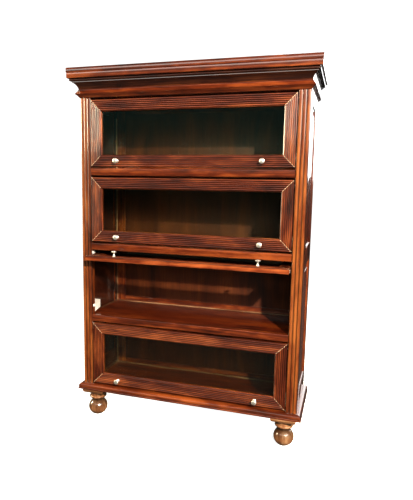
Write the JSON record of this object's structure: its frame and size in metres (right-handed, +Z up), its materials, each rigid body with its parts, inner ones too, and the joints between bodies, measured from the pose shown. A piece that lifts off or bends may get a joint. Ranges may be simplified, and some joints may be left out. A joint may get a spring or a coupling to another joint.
{
  "type": "barrister bookcase",
  "caption": "Tall mahogany bookcase with tiers closed by glazed doors that lift level and slide back into the case, on turned bun feet.",
  "frame": {"origin": "bottom centre of the whole object's box, on the floor, with the third door from the top lifted and pushed back as it rests", "axes": "+Z up, -Y out of the front of the case, +X to the viewer's right when facing the front"},
  "size_m": [1.0208, 0.355, 1.497],
  "materials": {
    "mahogany": "gloss polished red-brown mahogany",
    "reeded_mahogany": "gloss polished dark reeded mahogany",
    "panel_mahogany": "semi-gloss stained mahogany panel",
    "back_board": "thin stained plywood, matt",
    "glass": "clear flat glass with a green-grey tint",
    "satin_nickel": "bright satin nickel",
    "track_steel": "bright zinc-plated steel"
  },
  "bodies": {
    "case": {"top_board": "mahogany", "cornice_moulding": "mahogany", "cornice_bead": "mahogany", "frieze_rail": "mahogany", "ceiling_board": "panel_mahogany", "pilaster_left": "mahogany", "pilaster_right": "mahogany", "side_frame_left": "mahogany", "side_frame_right": "mahogany", "side_panel_upper_left": "panel_mahogany", "side_panel_upper_right": "panel_mahogany", "side_panel_lower_left": "panel_mahogany", "side_panel_lower_right": "panel_mahogany", "back_frame": "mahogany", "back_panel": "back_board", "shelf_1": "mahogany", "shelf_2": "mahogany", "shelf_3": "mahogany", "bottom_board": "panel_mahogany", "base_moulding": "mahogany", "foot_front_left": "mahogany", "foot_front_right": "mahogany", "foot_rear_left": "mahogany", "foot_rear_right": "mahogany", "track_1_left": "track_steel", "track_1_right": "track_steel", "track_2_left": "track_steel", "track_2_right": "track_steel", "track_3_left": "track_steel", "track_3_right": "track_steel", "track_4_left": "track_steel", "track_4_right": "track_steel", "catch_1_left": "satin_nickel", "catch_1_right": "satin_nickel", "catch_2_left": "satin_nickel", "catch_2_right": "satin_nickel", "catch_3_left": "satin_nickel", "catch_3_right": "satin_nickel", "catch_4_left": "satin_nickel", "catch_4_right": "satin_nickel"},
    "carriage_1": {"pivot_rod_1": "track_steel"},
    "door_1": {"door_1_frame": "reeded_mahogany", "door_1_glass": "glass", "door_1_knob_left": "satin_nickel", "door_1_knob_right": "satin_nickel"},
    "carriage_2": {"pivot_rod_2": "track_steel"},
    "door_2": {"door_2_frame": "reeded_mahogany", "door_2_glass": "glass", "door_2_knob_left": "satin_nickel", "door_2_knob_right": "satin_nickel"},
    "carriage_3": {"pivot_rod_3": "track_steel"},
    "door_3": {"door_3_frame": "reeded_mahogany", "door_3_glass": "glass", "door_3_knob_left": "satin_nickel", "door_3_knob_right": "satin_nickel"},
    "carriage_4": {"pivot_rod_4": "track_steel"},
    "door_4": {"door_4_frame": "reeded_mahogany", "door_4_glass": "glass", "door_4_knob_left": "satin_nickel", "door_4_knob_right": "satin_nickel"}
  },
  "joints": [
    {"name": "door_1_slide", "type": "slide", "parent": "case", "child": "carriage_1", "axis": [0, 1, 0], "range_m": [0, 0.185]},
    {"name": "door_1_lift", "type": "hinge", "parent": "carriage_1", "child": "door_1", "pos_m": [0, -0.1125, 1.354], "axis": [-1, 0, 0], "range_deg": [0, 90]},
    {"name": "door_2_slide", "type": "slide", "parent": "case", "child": "carriage_2", "axis": [0, 1, 0], "range_m": [0, 0.185]},
    {"name": "door_2_lift", "type": "hinge", "parent": "carriage_2", "child": "door_2", "pos_m": [0, -0.1125, 1.039], "axis": [-1, 0, 0], "range_deg": [0, 90]},
    {"name": "door_3_slide", "type": "slide", "parent": "case", "child": "carriage_3", "axis": [0, 1, 0], "range_m": [-0.185, 0]},
    {"name": "door_3_lift", "type": "hinge", "parent": "carriage_3", "child": "door_3", "pos_m": [0, 0.0725, 0.724], "axis": [-1, 0, 0], "range_deg": [-90, 0]},
    {"name": "door_4_slide", "type": "slide", "parent": "case", "child": "carriage_4", "axis": [0, 1, 0], "range_m": [0, 0.185]},
    {"name": "door_4_lift", "type": "hinge", "parent": "carriage_4", "child": "door_4", "pos_m": [0, -0.1125, 0.409], "axis": [-1, 0, 0], "range_deg": [0, 90]}
  ]
}
